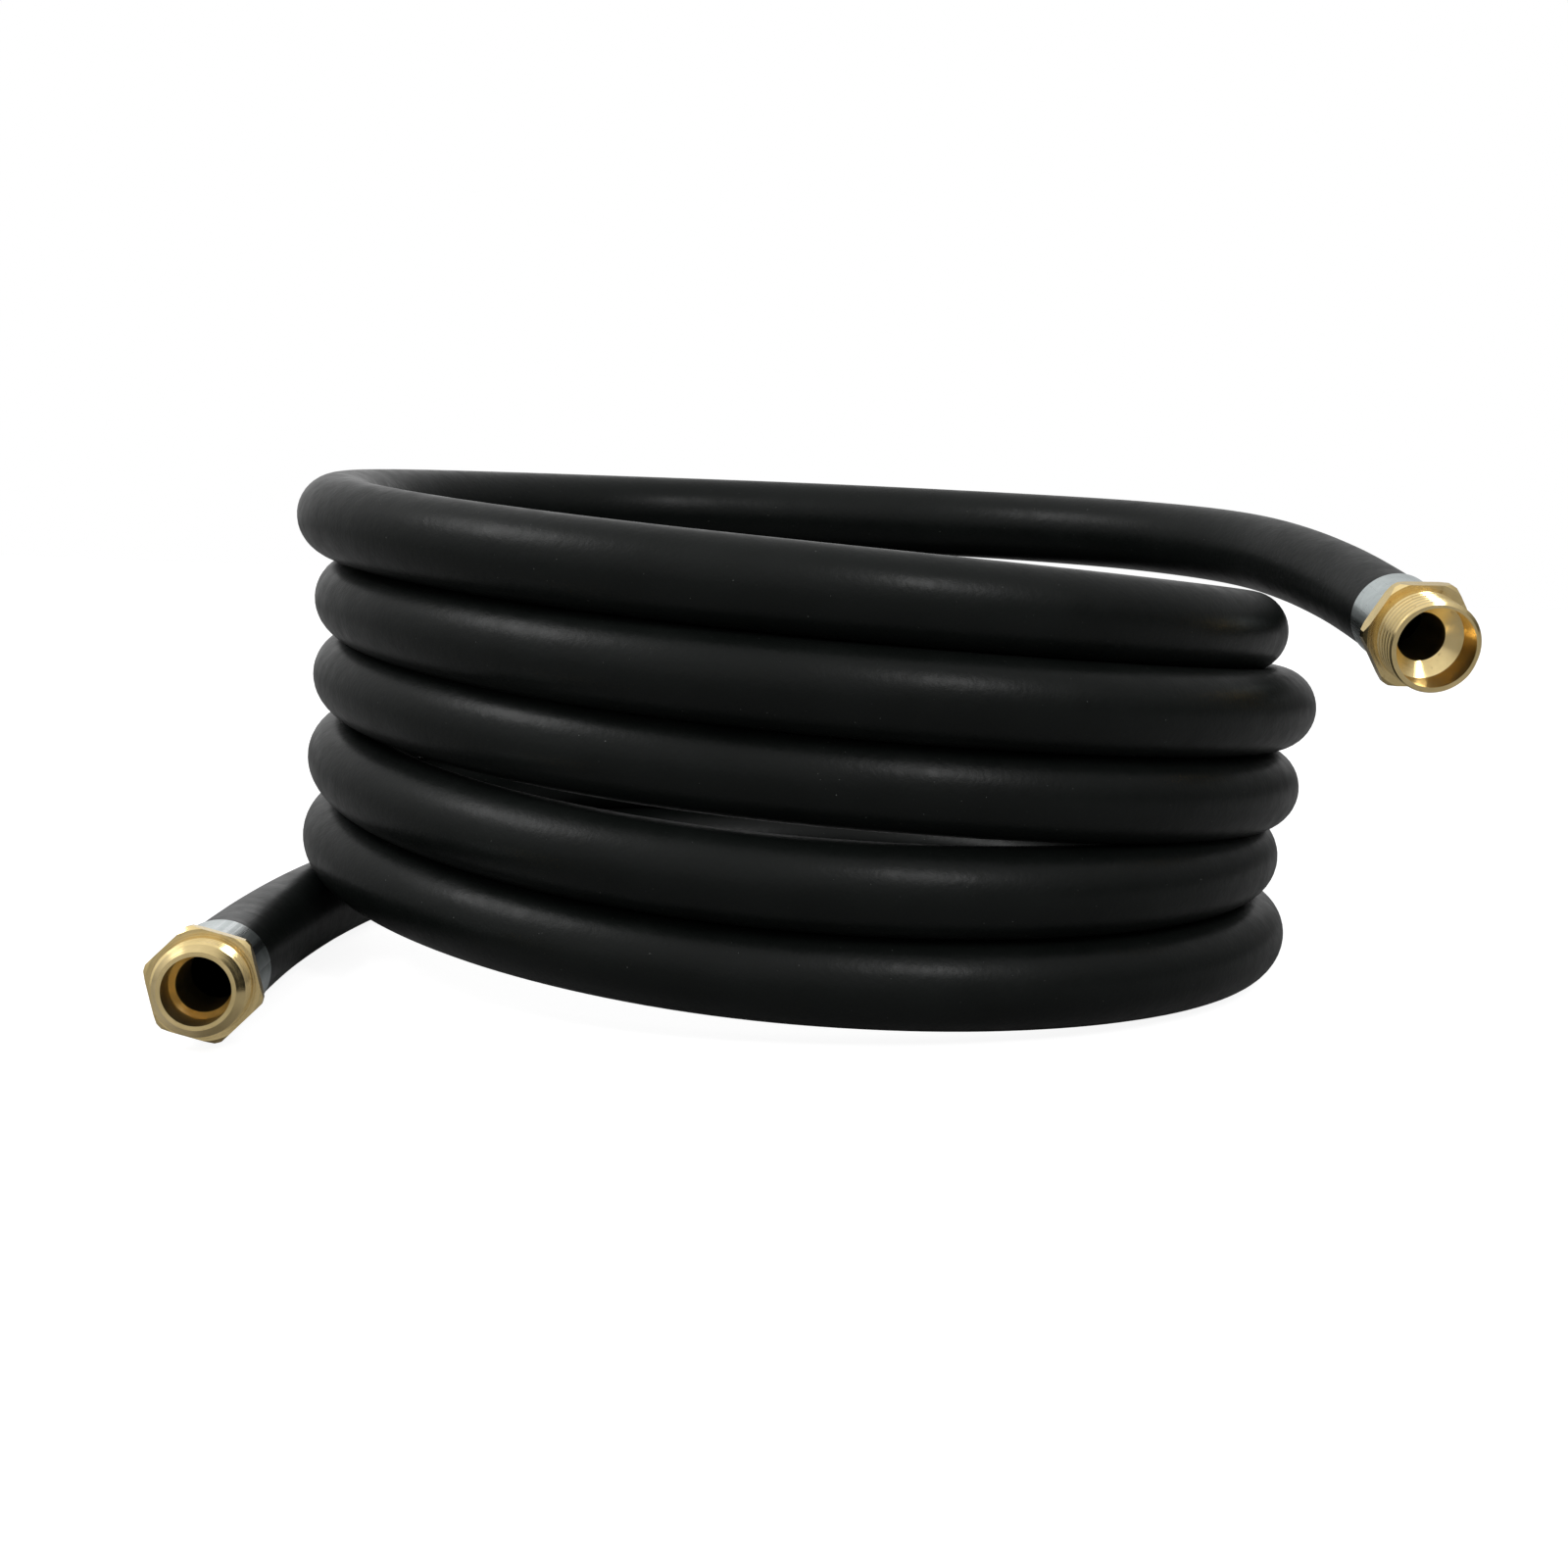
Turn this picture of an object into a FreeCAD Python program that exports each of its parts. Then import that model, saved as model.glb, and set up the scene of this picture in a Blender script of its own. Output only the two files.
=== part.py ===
import FreeCAD, Part
import math
import os

import Sketcher

# A coiled rubber water hose with a brass male coupling and a plain metal sleeve on each end.
# Frame: +Z up, the floor at z = 0, the origin under the middle of the whole part's outline.
# The coil's axis stands a little beside the origin, because the two free ends reach past the coil.

Vector = FreeCAD.Vector

# name, value (mm, degrees or a plain number), what it is
DIMENSIONS = [
    ("hose_radius", 12.5, "outside of the hose's cover"),
    ("braid_outer", 10.9, "outside of the textile reinforcement"),
    ("braid_inner", 10.2, "outside of the liner"),
    ("hose_bore", 7.95, "radius of the water way, 5/8 inch"),
    ("coil_x", -14.97, "coil axis beside the origin"),
    ("coil_y", 15.62, "coil axis behind the origin"),
    ("coil_radius", 144.0, "coil axis to the middle of the hose"),
    ("coil_turns", 5, "turns in the stack"),
    ("coil_pitch", 24.4, "one turn above the next"),
    ("coil_lift", 25.06, "height of the lowest turn's middle"),
    ("coil_lean", 5.0, "lean of the stack, lowest at its front right"),
    ("coil_lean_way", 71.0, "direction of the line it leans about"),
    ("ferrule_outer", 13.1, "radius"),
    ("ferrule_inner", 12.2, "radius, squeezed onto the cover"),
    ("ferrule_edge", 0.3, "chamfer of its rims"),
    ("stem_outer", 8.1, "radius, spread inside the hose's bore"),
    ("stem_start", 3.0, "stem's inner end from the ferrule's rear edge"),
    ("hex_thick", 4.6, "hexagon's thickness"),
    ("hex_chamfer", 1.0, "how far back the corners are turned"),
    ("thread_pitch", 2.209, "both threads, 11.5 to the inch"),
    ("thread_run_out", 0.5, "thread starts this far in front of the hexagon"),
    ("thread_land", 0.18, "half the flat at the bottom of the groove"),
    ("top_sleeve", 19.0, "ferrule's length"),
    ("top_flats", 30.16, "hexagon across its flats"),
    ("top_corner", 16.9, "radius that the corners are turned to"),
    ("top_nose", 12.8, "length of the threaded nose"),
    ("top_thread", 13.5, "major radius"),
    ("top_depth", 1.05, "thread depth"),
    ("top_flank", 0.92, "half the groove's width at the top"),
    ("top_lead", 0.45, "chamfer at the front, along"),
    ("top_tip", 13.1, "radius of the front edge"),
    ("top_mouth", 11.7, "radius of the counterbore"),
    ("top_mouth_deep", 10.0, "depth of the counterbore"),
    ("top_cone", 2.7, "depth of the cone under it"),
    ("top_bore", 7.25, "radius of the water way"),
    ("bottom_sleeve", 27.0, "ferrule's length"),
    ("bottom_flats", 26.99, "hexagon across its flats"),
    ("bottom_corner", 15.1, "radius that the corners are turned to"),
    ("bottom_nose", 11.6, "length of the threaded nose"),
    ("bottom_thread", 11.9, "major radius"),
    ("bottom_depth", 0.95, "thread depth"),
    ("bottom_flank", 0.88, "half the groove's width at the top"),
    ("bottom_lead", 3.4, "chamfer at the front, along"),
    ("bottom_tip", 9.7, "radius of the front edge"),
    ("bottom_mouth", 8.6, "radius of the counterbore"),
    ("bottom_mouth_deep", 12.4, "depth of the counterbore"),
    ("bottom_cone", 1.6, "depth of the cone under it"),
    ("bottom_bore", 7.1, "radius of the water way"),
]

# The middle of each ferrule's rear edge, measured from the foot of the coil's axis, and the way
# the coupling points: degrees to the right of straight ahead (-Y), and degrees above level.
# The roll turns the hexagon about the coupling's own axis.
ENDS = {
    "top": {"rear": (176.4, -54.9, 114.7), "aim": (5.0, -11.8), "roll": 6.1, "straight": 20.0},
    "bottom": {"rear": (-151.1, -143.6, 14.1), "aim": (5.7, 4.2), "roll": -9.6, "straight": 18.0},
}

# The hose's route behind each straight end, from the foot of the coil's axis.
# Each route ends in the coil, which hides its last points.
ROUTES = {
    "top": [
        (166, 8, 127), (154, 52, 132.5), (126, 94, 135.5), (87, 125, 137), (40, 141, 138),
        (-10, 143, 138.5), (-58, 130, 138), (-99, 101, 137), (-130, 62, 135.5),
    ],
    "bottom": [
        (-152.5, -76, 12.5), (-148, -25, 12.5), (-139, 25, 12.5), (-122, 73, 12.5),
        (-89, 111, 12.5), (-45, 136, 12.5), (5, 145, 12.5), (55, 136, 12.5),
        (98, 110, 12.5), (130, 71, 12.5), (146, 23, 12.5),
    ],
}

ARC_SHARE = 0.45        # part of the shorter run that an arc takes up
LAYER_RADII = ["hose_radius", "braid_outer", "braid_inner", "hose_bore"]
LAYER_NAMES = ["cover", "braid", "liner"]


def make_sheet(doc):
    """The driving dimensions."""
    sheet = doc.addObject("Spreadsheet::Sheet", "sizes")
    for row, (name, value, note) in enumerate(DIMENSIONS, start=1):
        sheet.set("A%d" % row, note)
        sheet.set("B%d" % row, str(value))
        sheet.setAlias("B%d" % row, name)
    doc.recompute()
    return sheet


def coil_foot(sheet):
    return Vector(sheet.coil_x, sheet.coil_y, 0)


def aim_vector(side):
    """The unit vector that a coupling points along."""
    right, above = (math.radians(angle) for angle in ENDS[side]["aim"])
    level = math.cos(above)
    return Vector(math.sin(right) * level, -math.cos(right) * level, math.sin(above))


def end_placement(sheet, side):
    """Puts a piece drawn along its own +Z, from the ferrule's rear edge outwards, on its hose end."""
    turn = FreeCAD.Rotation(Vector(0, 0, 1), aim_vector(side))
    roll = FreeCAD.Rotation(Vector(0, 0, 1), ENDS[side]["roll"])
    rear = coil_foot(sheet) + Vector(*ENDS[side]["rear"])
    return FreeCAD.Placement(rear, turn.multiply(roll))


# ---------------------------------------------------------------- the coil

def make_coil(doc, sheet):
    """The wound hose's outer shape: one ring for each turn, each a little sunk in the next."""
    rings = []
    for turn in range(int(sheet.coil_turns)):
        ring = doc.addObject("Part::Torus", "turn_%d" % (turn + 1))
        ring.setExpression("Radius1", "sizes.coil_radius")
        ring.setExpression("Radius2", "sizes.hose_radius")
        ring.setExpression("Placement.Base.z", "%d * sizes.coil_pitch" % turn)
        rings.append(ring)
    coil = doc.addObject("Part::MultiFuse", "hose_coil")
    coil.Label = "hose_coil"
    coil.Shapes = rings
    way = math.radians(sheet.coil_lean_way)
    lean = FreeCAD.Rotation(Vector(math.cos(way), math.sin(way), 0), sheet.coil_lean)
    coil.Placement = FreeCAD.Placement(coil_foot(sheet) + Vector(0, 0, sheet.coil_lift), lean)
    return coil


# ---------------------------------------------------------------- the free ends of the hose

def end_route(sheet, side):
    """The points from the hose's cut end, against the hexagon, back into the coil."""
    foot = coil_foot(sheet)
    rear = foot + Vector(*ENDS[side]["rear"])
    ahead = aim_vector(side)
    cut_end = rear + ahead * getattr(sheet, side + "_sleeve")
    behind = rear - ahead * ENDS[side]["straight"]
    return [cut_end, behind] + [foot + Vector(*point) for point in ROUTES[side]]


def rounded_wire(side, points):
    """Straight runs joined by tangent arcs, each as large as its two runs allow."""
    edges = []
    radii = []
    start = points[0]
    for before, corner, after in zip(points, points[1:], points[2:]):
        into = (corner - before).normalize()
        out = (after - corner).normalize()
        half_turn = into.getAngle(out) / 2
        trim = ARC_SHARE * min((corner - before).Length, (after - corner).Length)
        radius = trim / math.tan(half_turn)
        inward = (out - into).normalize()
        arc_start = corner - into * trim
        arc_end = corner + out * trim
        middle = corner + inward * (radius / math.cos(half_turn) - radius)
        edges.append(Part.LineSegment(start, arc_start).toShape())
        edges.append(Part.Arc(arc_start, middle, arc_end).toShape())
        radii.append(radius)
        start = arc_end
    edges.append(Part.LineSegment(start, points[-1]).toShape())
    print(side, "arc radii:", ", ".join("%.0f" % radius for radius in radii))
    return Part.Wire(edges)


def make_bar(doc, side, route, points, cell):
    """A round bar of one of the hose's radii along the route."""
    section = doc.addObject("Part::Circle", "%s_%s_section" % (side, cell))
    section.setExpression("Radius", "sizes." + cell)
    facing = FreeCAD.Rotation(Vector(0, 0, 1), points[1] - points[0])
    section.Placement = FreeCAD.Placement(points[0], facing)
    bar = doc.addObject("Part::Sweep", "%s_%s_bar" % (side, cell))
    bar.Sections = [section]
    bar.Spine = (route, ["Edge%d" % (i + 1) for i in range(len(route.Shape.Edges))])
    bar.Solid = True
    return bar


def make_hose_end(doc, sheet, side):
    """One free end of the hose: cover, reinforcement and liner, one inside another."""
    points = end_route(sheet, side)
    route = doc.addObject("Part::Feature", side + "_route")
    route.Shape = rounded_wire(side, points)
    bars = [make_bar(doc, side, route, points, cell) for cell in LAYER_RADII]
    layers = []
    for i, layer in enumerate(LAYER_NAMES):
        name = "%s_hose_%s" % (side, layer)
        tube = doc.addObject("Part::Cut", name)
        tube.Label = name
        tube.Base = bars[i]
        tube.Tool = bars[i + 1]
        layers.append(tube)
    return layers, route.Shape.Length


def print_volumes(sheet, layers, length):
    """Compares each tube with its section times the route's length."""
    for i, tube in enumerate(layers):
        outer = getattr(sheet, LAYER_RADII[i])
        inner = getattr(sheet, LAYER_RADII[i + 1])
        expected = math.pi * (outer ** 2 - inner ** 2) * length
        print("%s: volume %.0f, section times length %.0f" % (tube.Label, tube.Shape.Volume, expected))


# ---------------------------------------------------------------- drawing in a body

def new_sketch(body, name, role):
    """A sketch on one of the body's own origin planes."""
    sketch = body.newObject("Sketcher::SketchObject", name)
    plane = [item for item in body.Origin.OriginFeatures if item.Role == role][0]
    sketch.AttachmentSupport = (plane, [""])
    sketch.MapMode = "FlatFace"
    return sketch


def amount(sheet, side, words):
    """The number and the formula for cells added up, such as "sleeve + hex_thick - lead"."""
    value = 0.0
    formula = []
    sign = 1
    for word in words.split():
        if word in "+-":
            sign = -1 if word == "-" else 1
            formula.append(word)
            continue
        own = "%s_%s" % (side, word)
        cell = own if any(own == name for name, _, _ in DIMENSIONS) else word
        value += sign * getattr(sheet, cell)
        formula.append("sizes." + cell)
    return value, " ".join(formula)


def draw_outline(sketch, corners):
    """A closed outline of straight lines; a corner is two pairs, each a number and its formula."""
    flat = [Vector(x[0], y[0], 0) for x, y in corners]
    count = len(flat)
    for i in range(count):
        sketch.addGeometry(Part.LineSegment(flat[i], flat[(i + 1) % count]), False)
    for i in range(count):
        sketch.addConstraint(Sketcher.Constraint("Coincident", i, 2, (i + 1) % count, 1))
    for i, (x, y) in enumerate(corners):
        for kind, (value, formula) in (("DistanceX", x), ("DistanceY", y)):
            index = sketch.addConstraint(Sketcher.Constraint(kind, -1, 1, i, 1, value))
            if formula:
                sketch.setExpression("Constraints[%d]" % index, formula)


def draw_section(sketch, sheet, side, corners):
    """An outline in the radius and height plane, its corners named by cells."""
    spots = []
    for radius, height in corners:
        spots.append((amount(sheet, side, radius), amount(sheet, side, height)))
    draw_outline(sketch, spots)


def turn_section(body, kind, name, sketch):
    """Turns a section fully about the body's own axis, adding or cutting."""
    feature = body.newObject(kind, name)
    feature.Profile = sketch
    feature.ReferenceAxis = (sketch, ["V_Axis"])
    feature.Angle = 360
    body.Document.recompute()


# ---------------------------------------------------------------- ferrules and couplings

def make_ferrule(doc, sheet, side):
    """The plain metal sleeve that squeezes the hose's end, its rims chamfered."""
    body = doc.addObject("PartDesign::Body", side + "_ferrule")
    body.Label = side + "_ferrule"
    sketch = new_sketch(body, side + "_sleeve_section", "XZ_Plane")
    draw_section(sketch, sheet, side, [
        ("ferrule_inner", ""),
        ("ferrule_outer - ferrule_edge", ""),
        ("ferrule_outer", "ferrule_edge"),
        ("ferrule_outer", "sleeve - ferrule_edge"),
        ("ferrule_outer - ferrule_edge", "sleeve"),
        ("ferrule_inner", "sleeve"),
    ])
    turn_section(body, "PartDesign::Revolution", side + "_sleeve", sketch)
    body.Placement = end_placement(sheet, side)
    return body


def add_hexagon(body, sheet, side):
    """The wrench hexagon in front of the ferrule."""
    sketch = new_sketch(body, side + "_hexagon_outline", "XY_Plane")
    sketch.setExpression("AttachmentOffset.Base.z", "sizes.%s_sleeve" % side)
    reach = getattr(sheet, side + "_flats") / 2 / math.cos(math.radians(30))
    formula = "sizes.%s_flats / 2 / cos(30)" % side
    corners = []
    for i in range(6):
        angle = math.radians(60 * i)
        x = (reach * math.cos(angle), "%s * cos(%d)" % (formula, 60 * i))
        y = (reach * math.sin(angle), "%s * sin(%d)" % (formula, 60 * i))
        corners.append((x, y))
    draw_outline(sketch, corners)
    pad = body.newObject("PartDesign::Pad", side + "_hexagon")
    pad.Profile = sketch
    pad.setExpression("Length", "sizes.hex_thick")
    body.Document.recompute()


def turn_corners(body, sheet, side):
    """Takes the hexagon's sharp corners off, front and back, as a lathe does."""
    sketch = new_sketch(body, side + "_corner_waste", "XZ_Plane")
    draw_section(sketch, sheet, side, [
        ("corner - hex_chamfer", "sleeve + hex_thick"),
        ("corner", "sleeve + hex_thick - hex_chamfer"),
        ("corner", "sleeve + hex_chamfer"),
        ("corner - hex_chamfer", "sleeve"),
        ("corner + corner", "sleeve"),
        ("corner + corner", "sleeve + hex_thick"),
    ])
    turn_section(body, "PartDesign::Groove", side + "_corners", sketch)


def add_core(body, sheet, side):
    """The stem inside the hose and the nose in front of the hexagon."""
    sketch = new_sketch(body, side + "_core_section", "XZ_Plane")
    draw_section(sketch, sheet, side, [
        ("", "stem_start"),
        ("stem_outer", "stem_start"),
        ("stem_outer", "sleeve"),
        ("thread", "sleeve"),
        ("thread", "sleeve + hex_thick + nose - lead"),
        ("tip", "sleeve + hex_thick + nose"),
        ("", "sleeve + hex_thick + nose"),
    ])
    turn_section(body, "PartDesign::Revolution", side + "_core", sketch)


def cut_water_way(body, sheet, side):
    """The bore right through, opened out by a cone and a counterbore at the nose."""
    sketch = new_sketch(body, side + "_bore_section", "XZ_Plane")
    draw_section(sketch, sheet, side, [
        ("", "stem_start"),
        ("bore", "stem_start"),
        ("bore", "sleeve + hex_thick + nose - mouth_deep - cone"),
        ("mouth", "sleeve + hex_thick + nose - mouth_deep"),
        ("mouth", "sleeve + hex_thick + nose"),
        ("", "sleeve + hex_thick + nose"),
    ])
    turn_section(body, "PartDesign::Groove", side + "_water_way", sketch)


def cut_thread(body, sheet, side):
    """A real helical thread along the nose."""
    sketch = new_sketch(body, side + "_thread_groove", "XZ_Plane")
    middle = "sleeve + hex_thick + thread_run_out + flank"
    draw_section(sketch, sheet, side, [
        ("thread - depth", middle + " - thread_land"),
        ("thread - depth", middle + " + thread_land"),
        ("thread + thread_land", middle + " + flank"),
        ("thread + thread_land", middle + " - flank"),
    ])
    groove = body.newObject("PartDesign::SubtractiveHelix", side + "_thread")
    groove.Profile = sketch
    groove.ReferenceAxis = (sketch, ["V_Axis"])
    groove.Mode = 0
    groove.setExpression("Pitch", "sizes.thread_pitch")
    groove.setExpression("Height", "sizes.%s_nose + sizes.thread_pitch" % side)
    body.Document.recompute()


def make_coupling(doc, sheet, side):
    """A brass end turned from hexagon bar: a stem in the hose, a hexagon and a threaded nose."""
    body = doc.addObject("PartDesign::Body", side + "_coupling")
    body.Label = side + "_coupling"
    add_hexagon(body, sheet, side)
    turn_corners(body, sheet, side)
    add_core(body, sheet, side)
    cut_water_way(body, sheet, side)
    cut_thread(body, sheet, side)
    body.Placement = end_placement(sheet, side)
    return body


# ---------------------------------------------------------------- checking and writing

def check_document(doc):
    for item in doc.Objects:
        for word in item.State:
            if word in ("Invalid", "Error"):
                raise RuntimeError("%s is %s" % (item.Name, word))


def write_part(item):
    shape = item.Shape
    if shape.isNull() or not shape.isValid() or len(shape.Solids) != 1:
        raise RuntimeError("%s has no single sound solid" % item.Label)
    shape.exportStep("parts/%s.step" % item.Label)


def print_outline(parts):
    box = FreeCAD.BoundBox()
    for item in parts:
        box.add(item.Shape.BoundBox)
    print("outline x %.2f %.2f, y %.2f %.2f, z %.2f %.2f"
          % (box.XMin, box.XMax, box.YMin, box.YMax, box.ZMin, box.ZMax))


def main():
    os.makedirs("parts", exist_ok=True)
    doc = FreeCAD.newDocument("hose")
    sheet = make_sheet(doc)
    parts = [make_coil(doc, sheet)]
    tubes = []
    for side in ("top", "bottom"):
        layers, length = make_hose_end(doc, sheet, side)
        tubes.append((layers, length))
        parts += layers
        parts.append(make_ferrule(doc, sheet, side))
        parts.append(make_coupling(doc, sheet, side))
    doc.recompute()
    check_document(doc)
    for layers, length in tubes:
        print_volumes(sheet, layers, length)
    for item in parts:
        write_part(item)
    print_outline(parts)


main()
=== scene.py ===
import math

import bpy
from mathutils import Matrix, Vector


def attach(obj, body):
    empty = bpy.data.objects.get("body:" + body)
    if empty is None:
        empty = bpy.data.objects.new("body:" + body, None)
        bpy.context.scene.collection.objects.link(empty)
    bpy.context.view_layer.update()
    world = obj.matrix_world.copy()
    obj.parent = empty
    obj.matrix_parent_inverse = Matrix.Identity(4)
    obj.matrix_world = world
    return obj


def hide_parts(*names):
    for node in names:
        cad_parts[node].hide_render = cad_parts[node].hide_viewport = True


# A coiled black rubber hose with a brass coupling in a plain metal sleeve on each end.
# Sizes are in millimetres here and become metres in place(). The floor is z = 0.

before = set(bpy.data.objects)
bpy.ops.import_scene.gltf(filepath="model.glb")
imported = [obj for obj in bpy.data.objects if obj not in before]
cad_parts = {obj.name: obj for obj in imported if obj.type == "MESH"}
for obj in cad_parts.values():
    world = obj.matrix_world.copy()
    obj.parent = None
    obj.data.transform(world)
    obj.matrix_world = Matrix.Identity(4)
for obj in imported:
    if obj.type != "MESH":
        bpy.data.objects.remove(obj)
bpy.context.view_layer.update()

FOOT = Vector((-14.97, 15.62, 0))       # foot of the coil's axis
HOSE_RADIUS = 12.5
FLOOR_LINE = 12.5                       # lowest height for the middle of the hose

# The middle of each sleeve's rear edge from FOOT, where its coupling points, in degrees to the
# right of straight ahead and above level, the sleeve's length and the straight stretch behind it.
TOP_END = (176.4, -54.9, 114.7)
TOP_AIM = (5.0, -11.8)
TOP_SLEEVE = 19.0
TOP_STRAIGHT = 20.0
TOP_THREAD = (12.45, 13.5, 35.0)        # valley and crest radius, and how far from the end it goes
BOTTOM_END = (-151.1, -143.6, 14.1)
BOTTOM_AIM = (5.7, 4.2)
BOTTOM_SLEEVE = 27.0
BOTTOM_STRAIGHT = 18.0
BOTTOM_THREAD = (10.95, 11.9, 39.0)

# The hose's route outside the coil, from FOOT.
TOP_ROUTE = [
    (166, 8, 127), (154, 52, 132.5), (126, 94, 135.5), (87, 125, 137), (40, 141, 138),
    (-10, 143, 138.5),
]
BOTTOM_ROUTE = [
    (146, 23, 12.5), (130, 71, 12.5), (98, 110, 12.5), (55, 136, 12.5), (5, 145, 12.5),
    (-45, 136, 12.5), (-89, 111, 12.5), (-122, 73, 12.5), (-139, 25, 12.5), (-148, -25, 12.5),
    (-152.5, -76, 12.5),
]

# The coil: how far out and how high the hose's middle is at each quarter turn, going round
# from the back by way of the left, the front and the right.
QUARTERS = [
    (144, 138.8),
    (146.5, 135), (144, 119.1), (141.5, 106.6), (146, 112.5),
    (140.3, 109.8), (147, 94.3), (151.5, 83.5), (146, 87.3),
    (141, 86), (143, 70.2), (148, 58.2), (146, 62),
    (142, 61), (146, 42.2), (142, 37.4), (145, 36.2),
    (143.5, 36), (144.5, 17.1), (145.4, 12.5), (146, 12.5),
]
COIL_START = 115.0                      # degrees round from +X
COIL_END = 1790.0
COIL_STEPS = 75

LENS = 51.8
SENSOR = 36
CAMERA_AT = (-9.9, -729.0, 137.5)       # from FOOT
CAMERA_YAW = 0.53                       # degrees to the right of straight ahead
CAMERA_PITCH = 6.74                     # degrees below level
CAMERA_ROLL = 2.05

# Where each area light stands, its width and height in metres, and its watts.
LIGHTS = {
    "left": ((-1.03, -0.25, 1.1), (0.6, 0.5), 7.5),
    "right": ((0.74, -1.09, 1.15), (0.3, 0.5), 7.8),
}
LIGHTS_LOOK_AT = (0, 0, 0.08)

SIDE_GLOW = 0.05                        # the studio's least brightness
STUDIO = [                              # where it is brighter, from what cosine on, by how much
    ((-0.3, -0.94, 0.15), 0.0, 0.6),    # in front, a little to the left
    ((-0.85, 0.53, 0), 0.0, 0.32),      # behind, to the left
    ((0, 1, 0), 0.82, 0.8),             # the backdrop, straight behind
    ((0, 0, 1), 0.0, 0.8),              # overhead
]
FLOOR_GREY = 0.3
FLOOR_GLOW = 0.9                        # what a light table adds where the camera sees it
FLOOR_SIDE = 8                          # metres
FLOOR_DROP = 0.0002                     # metres below z = 0, so that it never cuts the hose

WHITE = (1, 1, 1)
RUBBER_DARK = (0.0028, 0.0036, 0.0032)
RUBBER_PALE = (0.0050, 0.0061, 0.0056)
DUST = (0.08, 0.085, 0.08)
BRASS_DARK = (0.70, 0.545, 0.255)
BRASS_BRIGHT = (0.88, 0.69, 0.35)
BRASS_SPOT = (0.42, 0.28, 0.11)
# painted shade for the bottoms of the thread's grooves
THREAD_VALLEY_SHADE = (0.20, 0.11, 0.035)
ZINC_DARK = (0.46, 0.51, 0.51)
ZINC_PALE = (0.66, 0.72, 0.72)
ZINC_SCUFF = (0.16, 0.17, 0.17)


# ---------------------------------------------------------------- small helpers

def place(point):
    """A point given from FOOT in millimetres, in the row frame in metres."""
    return (FOOT + Vector(point)) * 0.001


def aim_vector(aim):
    right, above = (math.radians(angle) for angle in aim)
    level = math.cos(above)
    return Vector((math.sin(right) * level, -math.cos(right) * level, math.sin(above)))


def between(values, spot):
    """A smooth (Catmull-Rom) curve through values that are one apart, read at spot."""
    i = min(max(int(spot), 0), len(values) - 2)
    t = spot - i
    a = values[max(i - 1, 0)]
    b = values[i]
    c = values[i + 1]
    d = values[min(i + 2, len(values) - 1)]
    slope = c - a
    bend = 2 * a - 5 * b + 4 * c - d
    twist = 3 * b - a - 3 * c + d
    return 0.5 * (2 * b + slope * t + bend * t * t + twist * t ** 3)


# ---------------------------------------------------------------- camera

def make_camera():
    """An ordinary lens, about as high as the coil's top turn, looking slightly down."""
    data = bpy.data.cameras.new("camera")
    data.lens = LENS
    data.sensor_width = SENSOR
    data.clip_start = 0.05
    data.clip_end = 30
    camera = bpy.data.objects.new("camera", data)
    bpy.context.scene.collection.objects.link(camera)
    yaw = math.radians(CAMERA_YAW)
    pitch = math.radians(CAMERA_PITCH)
    roll = math.radians(CAMERA_ROLL)
    level = math.cos(pitch)
    ahead = Vector((math.sin(yaw) * level, math.cos(yaw) * level, -math.sin(pitch)))
    side = Vector((math.cos(yaw), -math.sin(yaw), 0))
    up = side.cross(ahead)
    side_rolled = math.cos(roll) * side + math.sin(roll) * up
    up_rolled = math.cos(roll) * up - math.sin(roll) * side
    turn = Matrix((side_rolled, up_rolled, -ahead)).transposed().to_4x4()
    camera.matrix_world = Matrix.Translation(place(CAMERA_AT)) @ turn
    bpy.context.scene.camera = camera


# ---------------------------------------------------------------- the hose

def coil_points():
    """The wound turns, about sixteen points to a turn.

    The curve cuts inside its points, so they lie further out than the hose's middle.
    """
    step = (COIL_END - COIL_START) / COIL_STEPS
    reach = 1 / math.cos(math.radians(step / 2))
    points = []
    for i in range(COIL_STEPS + 1):
        degrees = COIL_START + step * i
        spot = (degrees - 90) / 90
        radius = between([q[0] for q in QUARTERS], spot) * reach
        height = max(between([q[1] for q in QUARTERS], spot), FLOOR_LINE)
        angle = math.radians(degrees)
        points.append((radius * math.cos(angle), radius * math.sin(angle), height))
    return points


def hose_points():
    """From the cut end inside the top coupling's sleeve to the cut end inside the bottom one's."""
    top = Vector(TOP_END)
    top_aim = aim_vector(TOP_AIM)
    bottom = Vector(BOTTOM_END)
    bottom_aim = aim_vector(BOTTOM_AIM)
    points = [top + top_aim * TOP_SLEEVE, top - top_aim * TOP_STRAIGHT]
    points += TOP_ROUTE
    points += coil_points()
    points += BOTTOM_ROUTE
    points += [bottom - bottom_aim * BOTTOM_STRAIGHT, bottom + bottom_aim * BOTTOM_SLEEVE]
    return [place(point) for point in points]


def make_hose():
    curve = bpy.data.curves.new("hose", "CURVE")
    curve.dimensions = "3D"
    points = hose_points()
    spline = curve.splines.new("NURBS")
    spline.points.add(len(points) - 1)
    for spot, point in zip(spline.points, points):
        spot.co = (*point, 1.0)
        spot.radius = HOSE_RADIUS * 0.001
    spline.order_u = 3
    spline.use_endpoint_u = True
    spline.resolution_u = 10
    curve.bevel_depth = 1.0             # metres, times each point's radius
    curve.bevel_resolution = 20
    hose = bpy.data.objects.new("hose", curve)
    bpy.context.scene.collection.objects.link(hose)
    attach(hose, "root")
    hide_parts("hose_coil",
                "top_hose_cover", "top_hose_braid", "top_hose_liner",
                "bottom_hose_cover", "bottom_hose_braid", "bottom_hose_liner")
    return hose


# ---------------------------------------------------------------- materials

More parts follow.
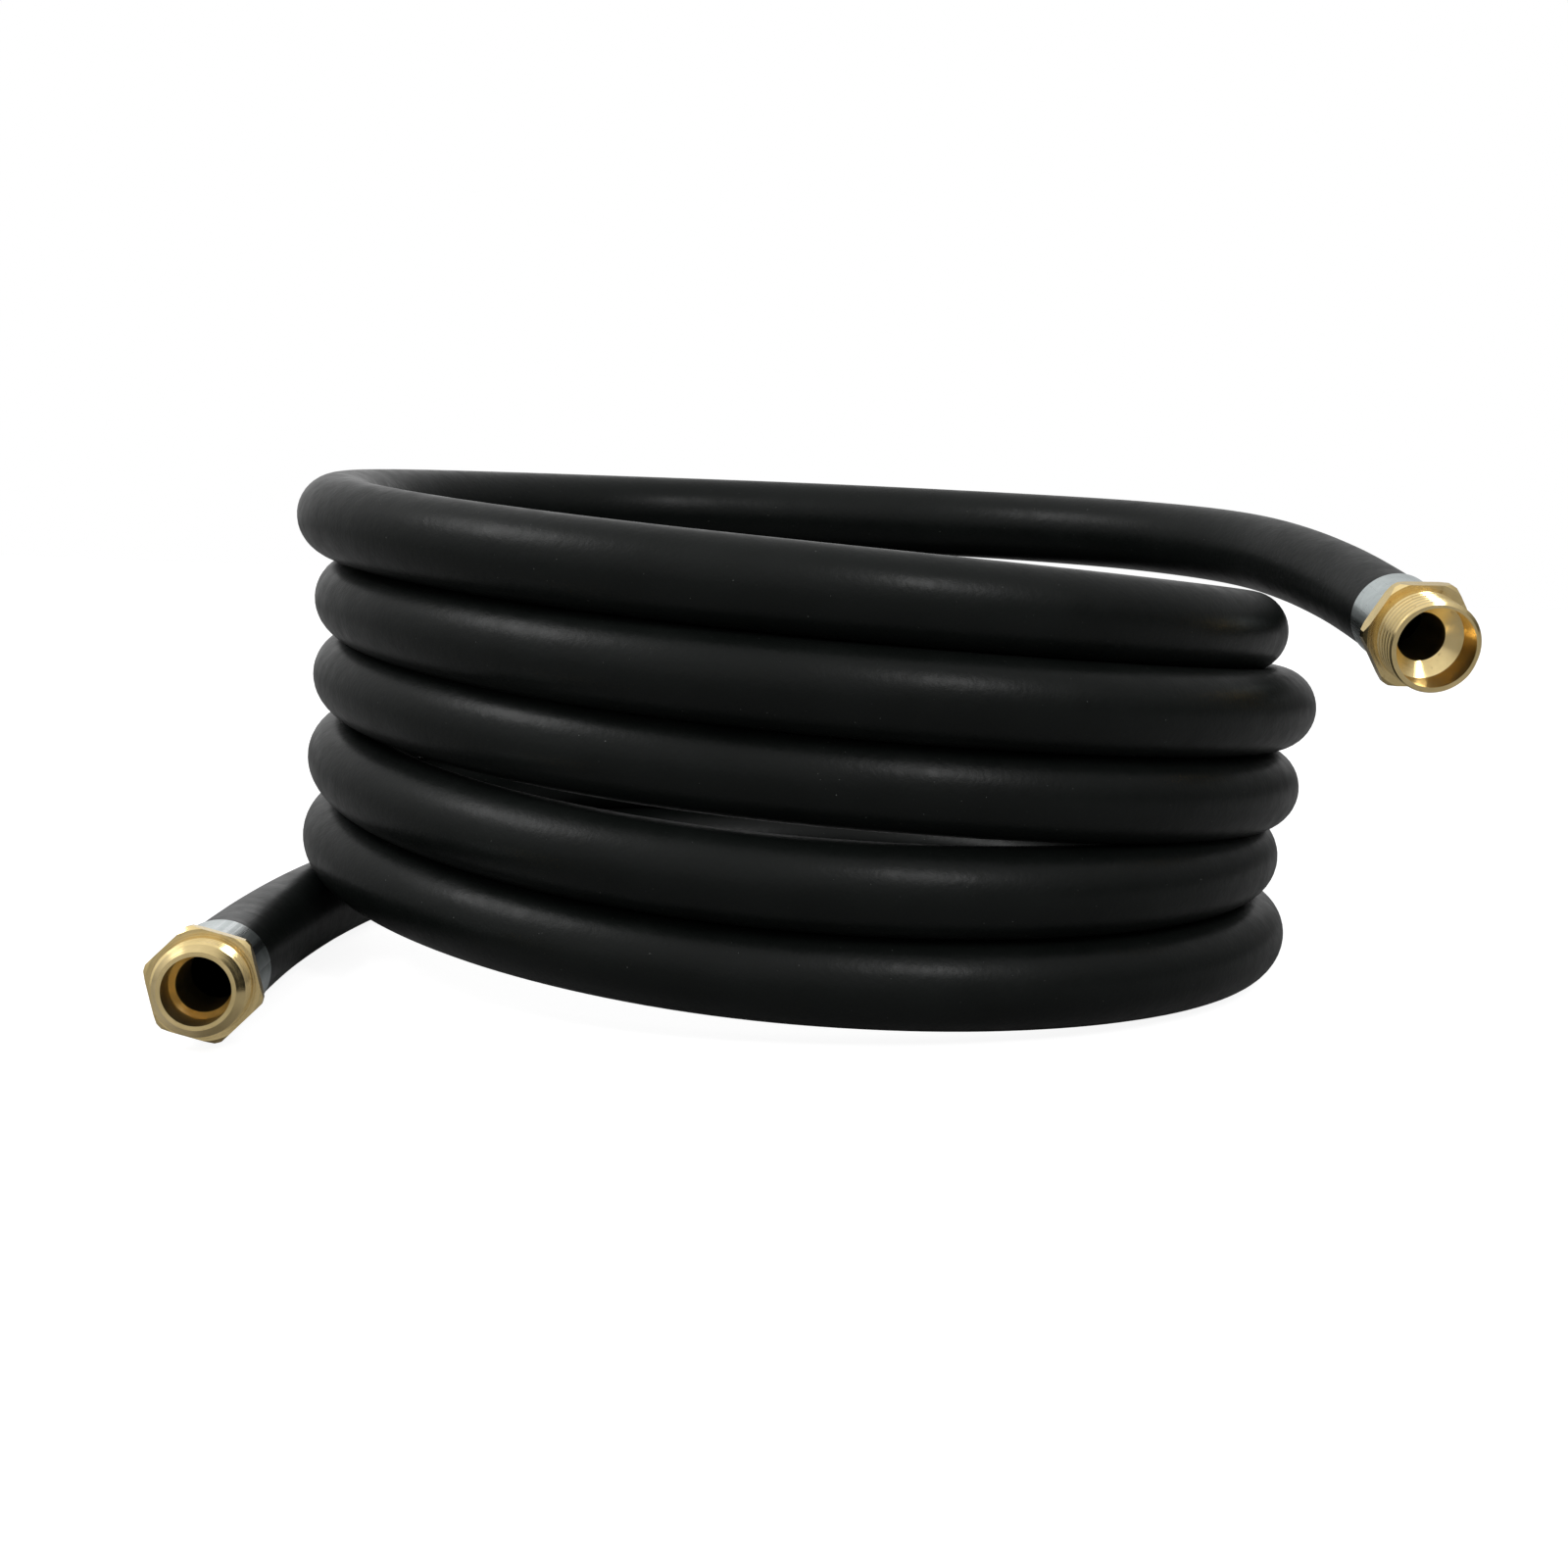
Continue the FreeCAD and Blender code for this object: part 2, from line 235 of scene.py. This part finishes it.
def new_material(name):
    material = bpy.data.materials.new(name)
    material.use_nodes = True
    tree = material.node_tree
    shader = tree.nodes["Principled BSDF"]
    where = tree.nodes.new("ShaderNodeTexCoord")
    return material, tree, shader, where.outputs["Object"]


def add_noise(tree, where, scale, detail, roughness):
    noise = tree.nodes.new("ShaderNodeTexNoise")
    noise.inputs["Scale"].default_value = scale
    noise.inputs["Detail"].default_value = detail
    noise.inputs["Roughness"].default_value = roughness
    tree.links.new(where, noise.inputs["Vector"])
    return noise.outputs["Fac"]


def add_ramp(tree, value, low, high, at_low, at_high):
    """From one colour to another between two levels of value; a grey is given as one number."""
    ramp = tree.nodes.new("ShaderNodeValToRGB")
    stops = ((low, at_low), (high, at_high))
    for element, (level, colour) in zip(ramp.color_ramp.elements, stops):
        element.position = level
        element.color = (*colour, 1) if isinstance(colour, tuple) else (colour, colour, colour, 1)
    tree.links.new(value, ramp.inputs["Fac"])
    return ramp.outputs["Color"]


def add_bump(tree, value, strength, distance, below=None):
    bump = tree.nodes.new("ShaderNodeBump")
    bump.inputs["Strength"].default_value = strength
    bump.inputs["Distance"].default_value = distance
    tree.links.new(value, bump.inputs["Height"])
    if below:
        tree.links.new(below, bump.inputs["Normal"])
    return bump.outputs["Normal"]


def add_mix(tree, amount, first, second):
    """Between a colour from another node and a fixed one."""
    mix = tree.nodes.new("ShaderNodeMix")
    mix.data_type = "RGBA"
    tree.links.new(amount, mix.inputs["Factor"])
    tree.links.new(first, mix.inputs[6])
    mix.inputs[7].default_value = (*second, 1)
    return mix.outputs[2]


def add_vector_math(tree, operation, vector, fixed, result="Vector"):
    node = tree.nodes.new("ShaderNodeVectorMath")
    node.operation = operation
    tree.links.new(vector, node.inputs[0])
    node.inputs[1].default_value = fixed
    return node.outputs[result]


def add_sum(tree, first, second):
    """Of two values; first may be a plain number."""
    node = tree.nodes.new("ShaderNodeMath")
    if isinstance(first, float):
        node.inputs[0].default_value = first
    else:
        tree.links.new(first, node.inputs[0])
    tree.links.new(second, node.inputs[1])
    return node.outputs["Value"]


def add_range(tree, value, low, high, at_low, at_high):
    """A straight slope between two places, level outside them."""
    node = tree.nodes.new("ShaderNodeMapRange")
    node.inputs["From Min"].default_value = low
    node.inputs["From Max"].default_value = high
    node.inputs["To Min"].default_value = at_low
    node.inputs["To Max"].default_value = at_high
    tree.links.new(value, node.inputs["Value"])
    return node.outputs["Result"]


def add_product(tree, first, second):
    node = tree.nodes.new("ShaderNodeMath")
    node.operation = "MULTIPLY"
    tree.links.new(first, node.inputs[0])
    tree.links.new(second, node.inputs[1])
    return node.outputs["Value"]


def add_camera_mix(tree, unseen, seen):
    """The number seen where the camera looks straight at it, and the value unseen elsewhere."""
    ray = tree.nodes.new("ShaderNodeLightPath")
    mix = tree.nodes.new("ShaderNodeMix")
    tree.links.new(ray.outputs["Is Camera Ray"], mix.inputs["Factor"])
    mix.inputs["A"].default_value = 0.0
    if unseen:
        tree.links.new(unseen, mix.inputs["A"])
    mix.inputs["B"].default_value = seen
    return mix.outputs["Result"]


def rubber_material():
    """Smooth black rubber, faintly mottled, with fine dust."""
    material, tree, shader, where = new_material("black_rubber")
    blotches = add_noise(tree, where, scale=28, detail=4, roughness=0.6)
    body = add_ramp(tree, blotches, 0.3, 0.7, RUBBER_DARK, RUBBER_PALE)
    specks = add_noise(tree, where, scale=1300, detail=1, roughness=0.5)
    dust = add_ramp(tree, specks, 0.79, 0.83, 0.0, 1.0)
    tree.links.new(add_mix(tree, dust, body, DUST), shader.inputs["Base Color"])
    wear = add_noise(tree, where, scale=150, detail=4, roughness=0.65)
    tree.links.new(add_ramp(tree, wear, 0.3, 0.7, 0.31, 0.42), shader.inputs["Roughness"])
    waves = add_noise(tree, where, scale=70, detail=3, roughness=0.5)
    grain = add_noise(tree, where, scale=600, detail=2, roughness=0.6)
    soft = add_bump(tree, waves, strength=0.2, distance=0.0009)
    fine = add_bump(tree, grain, strength=0.25, distance=0.00028, below=soft)
    tree.links.new(fine, shader.inputs["Normal"])
    shader.inputs["Specular IOR Level"].default_value = 0.12
    return material


def lathe_marks(tree, where, end, aim):
    """Of a spot near a coupling: how far along its axis, how far out, the way out and the way round."""
    offset = add_vector_math(tree, "SUBTRACT", where, place(end))
    axis = aim_vector(aim)
    along = add_vector_math(tree, "DOT_PRODUCT", offset, axis, "Value")
    scaled = tree.nodes.new("ShaderNodeVectorMath")
    scaled.operation = "SCALE"
    scaled.inputs[0].default_value = axis
    tree.links.new(along, scaled.inputs["Scale"])
    outward = tree.nodes.new("ShaderNodeVectorMath")
    outward.operation = "SUBTRACT"
    tree.links.new(offset, outward.inputs[0])
    tree.links.new(scaled.outputs["Vector"], outward.inputs[1])
    out = tree.nodes.new("ShaderNodeVectorMath")
    out.operation = "LENGTH"
    tree.links.new(outward.outputs["Vector"], out.inputs[0])
    round_ = add_vector_math(tree, "CROSS_PRODUCT", offset, axis)
    return along, out.outputs["Value"], outward.outputs["Vector"], round_


def thread_valley_shade(tree, along, out, thread):
    """Painted shade in the thread's valleys: 1 at the bottom of a groove, 0 on its crests."""
    valley, crest, reach = (length * 0.001 for length in thread)
    blur = 0.0003                       # metres
    low = add_range(tree, out, valley, crest - blur, 1.0, 0.0)
    outside = add_range(tree, out, valley - blur, valley - 0.0002, 0.0, 1.0)    # not the bore
    behind_tip = add_range(tree, along, reach, reach + blur, 1.0, 0.0)
    return add_product(tree, add_product(tree, low, outside), behind_tip)


def brass_material(side, end, aim, thread):
    """Turned brass: warm, with fine lathe rings, an uneven polish and painted shade in the thread's
    valleys.
    """
    material, tree, shader, where = new_material("turned_brass_" + side)
    shader.inputs["Metallic"].default_value = 1.0
    along, out, _, round_ = lathe_marks(tree, where, end, aim)
    rings = tree.nodes.new("ShaderNodeTexNoise")
    rings.noise_dimensions = "1D"
    rings.inputs["Scale"].default_value = 1800
    rings.inputs["Detail"].default_value = 3
    tree.links.new(add_sum(tree, along, out), rings.inputs["W"])
    tone = add_noise(tree, where, scale=110, detail=4, roughness=0.6)
    polish = add_ramp(tree, tone, 0.3, 0.7, BRASS_DARK, BRASS_BRIGHT)
    tarnish = add_noise(tree, where, scale=420, detail=3, roughness=0.6)
    spots = add_ramp(tree, tarnish, 0.62, 0.75, 0.0, 0.5)
    spotted = add_mix(tree, spots, polish, BRASS_SPOT)
    # painted shade: the thread's valleys are darkened in the base colour
    valley_shade = thread_valley_shade(tree, along, out, thread)
    tree.links.new(add_mix(tree, valley_shade, spotted, THREAD_VALLEY_SHADE), shader.inputs["Base Color"])
    rough = add_ramp(tree, rings.outputs["Fac"], 0.3, 0.7, 0.16, 0.26)
    tree.links.new(rough, shader.inputs["Roughness"])
    normal = add_bump(tree, rings.outputs["Fac"], strength=0.14, distance=0.00012)
    tree.links.new(normal, shader.inputs["Normal"])
    shader.inputs["Anisotropic"].default_value = 0.75
    shader.inputs["Anisotropic Rotation"].default_value = 0.25
    tree.links.new(round_, shader.inputs["Tangent"])
    return material


def zinc_material(side, end, aim):
    """Dull zinc plate with streaks along the sleeve and small scuffs."""
    material, tree, shader, where = new_material("zinc_plate_" + side)
    shader.inputs["Metallic"].default_value = 1.0
    _, _, outward, _ = lathe_marks(tree, where, end, aim)
    streaks = add_noise(tree, outward, scale=520, detail=3, roughness=0.6)
    tone = add_noise(tree, where, scale=120, detail=5, roughness=0.65)
    colour = add_ramp(tree, tone, 0.3, 0.7, ZINC_DARK, ZINC_PALE)
    wear = add_noise(tree, where, scale=700, detail=4, roughness=0.7)
    scuffs = add_ramp(tree, wear, 0.63, 0.72, 0.0, 0.75)
    tree.links.new(add_mix(tree, scuffs, colour, ZINC_SCUFF), shader.inputs["Base Color"])
    tree.links.new(add_ramp(tree, streaks, 0.3, 0.7, 0.22, 0.42), shader.inputs["Roughness"])
    normal = add_bump(tree, streaks, strength=0.12, distance=0.0001)
    tree.links.new(normal, shader.inputs["Normal"])
    return material


def floor_material():
    """A light table: white where the camera sees it, grey for light and reflections."""
    material, tree, shader, _ = new_material("white_floor")
    shader.inputs["Base Color"].default_value = (FLOOR_GREY, FLOOR_GREY, FLOOR_GREY, 1)
    shader.inputs["Roughness"].default_value = 0.8
    shader.inputs["Specular IOR Level"].default_value = 0.1
    shader.inputs["Emission Color"].default_value = (*WHITE, 1)
    glow = add_camera_mix(tree, None, FLOOR_GLOW)
    tree.links.new(glow, shader.inputs["Emission Strength"])
    return material


def dress(node, material):
    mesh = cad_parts[node].data
    mesh.materials.clear()
    mesh.materials.append(material)


# ---------------------------------------------------------------- floor and light

def make_floor():
    bpy.ops.mesh.primitive_plane_add(size=FLOOR_SIDE, location=(0, 0, -FLOOR_DROP))
    floor = bpy.context.object
    floor.name = "floor"
    floor.data.materials.append(floor_material())


def make_light(name, at, size, power):
    data = bpy.data.lights.new(name, "AREA")
    data.shape = "RECTANGLE"
    data.size = size[0]
    data.size_y = size[1]
    data.energy = power
    light = bpy.data.objects.new(name, data)
    bpy.context.scene.collection.objects.link(light)
    light.location = at
    light.rotation_euler = (Vector(LIGHTS_LOOK_AT) - Vector(at)).to_track_quat("-Z", "Y").to_euler()


def make_world():
    """White to the camera. It lights the object from all round, unevenly as STUDIO says."""
    world = bpy.data.worlds.new("studio")
    world.use_nodes = True
    bpy.context.scene.world = world
    tree = world.node_tree
    where = tree.nodes.new("ShaderNodeTexCoord")
    glow = SIDE_GLOW
    for direction, start, extra in STUDIO:
        facing = add_vector_math(tree, "DOT_PRODUCT", where.outputs["Generated"], direction, "Value")
        glow = add_sum(tree, glow, add_range(tree, facing, start, 1.0, 0.0, extra))
    tree.links.new(add_camera_mix(tree, glow, 1.0), tree.nodes["Background"].inputs["Strength"])
    tree.nodes["Background"].inputs["Color"].default_value = (*WHITE, 1)


# ---------------------------------------------------------------- building

make_camera()
hose = make_hose()
hose.data.materials.append(rubber_material())

for side, end, aim, thread in (
    ("top", TOP_END, TOP_AIM, TOP_THREAD),
    ("bottom", BOTTOM_END, BOTTOM_AIM, BOTTOM_THREAD),
):
    dress(side + "_coupling", brass_material(side, end, aim, thread))
    dress(side + "_ferrule", zinc_material(side, end, aim))

make_floor()
make_world()
for name, (at, size, power) in LIGHTS.items():
    make_light(name, at, size, power)
bpy.context.scene.view_settings.view_transform = "Standard"
